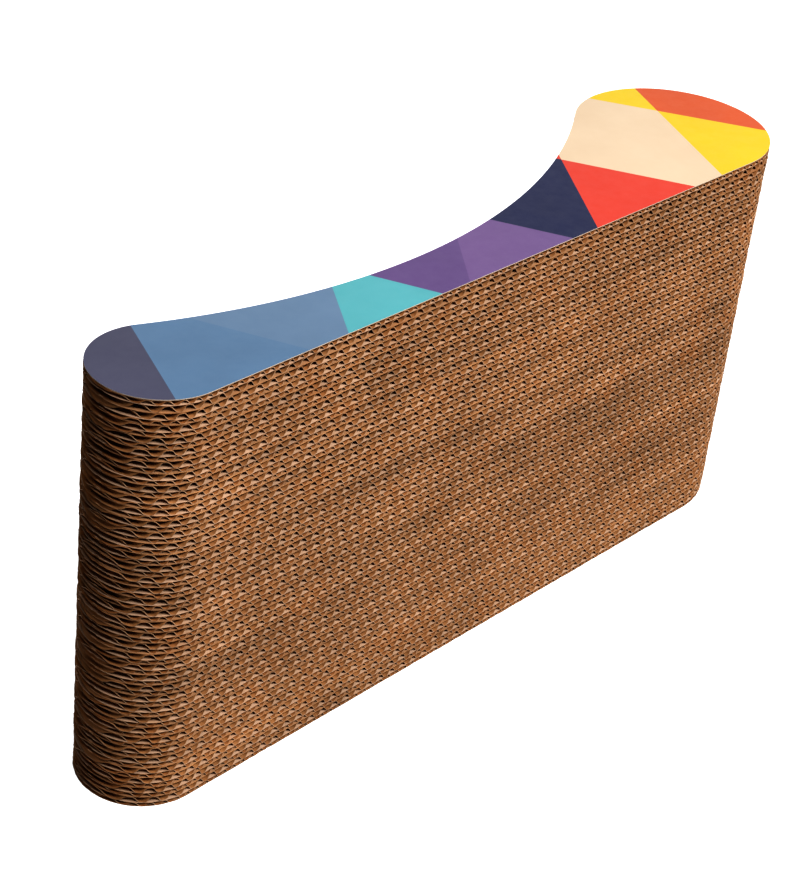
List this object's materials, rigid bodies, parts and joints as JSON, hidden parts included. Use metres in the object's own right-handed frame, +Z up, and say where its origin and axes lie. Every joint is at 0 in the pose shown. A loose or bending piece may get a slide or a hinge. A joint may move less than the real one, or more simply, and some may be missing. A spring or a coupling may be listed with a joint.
{
  "type": "cardboard cat scratcher",
  "caption": "Lounge-shaped cardboard cat scratcher: die-cut corrugated boards glued in a stack, with a low foot, a hollow seat, a high head and a printed sheet on one side.",
  "frame": {"origin": "middle of the length and depth, on the underside of the bottom board", "axes": "+Z up through the stack to the printed side, +X along the length towards the high head end, +Y from the straight side towards the hollow seat"},
  "size_m": [0.5024, 0.113, 0.2333],
  "materials": {
    "corrugated_board": "matte",
    "glue": "satin",
    "printed_paper": "satin"
  },
  "bodies": {
    "root": {"board_01": "corrugated_board", "board_02": "corrugated_board", "board_03": "corrugated_board", "board_04": "corrugated_board", "board_05": "corrugated_board", "board_06": "corrugated_board", "board_07": "corrugated_board", "board_08": "corrugated_board", "board_09": "corrugated_board", "board_10": "corrugated_board", "board_11": "corrugated_board", "board_12": "corrugated_board", "board_13": "corrugated_board", "board_14": "corrugated_board", "board_15": "corrugated_board", "board_16": "corrugated_board", "board_17": "corrugated_board", "board_18": "corrugated_board", "board_19": "corrugated_board", "board_20": "corrugated_board", "board_21": "corrugated_board", "board_22": "corrugated_board", "board_23": "corrugated_board", "board_24": "corrugated_board", "board_25": "corrugated_board", "board_26": "corrugated_board", "board_27": "corrugated_board", "board_28": "corrugated_board", "board_29": "corrugated_board", "board_30": "corrugated_board", "board_31": "corrugated_board", "board_32": "corrugated_board", "board_33": "corrugated_board", "board_34": "corrugated_board", "board_35": "corrugated_board", "board_36": "corrugated_board", "board_37": "corrugated_board", "glue_beads": "glue", "print_sheet": "printed_paper"}
  },
  "joints": []
}
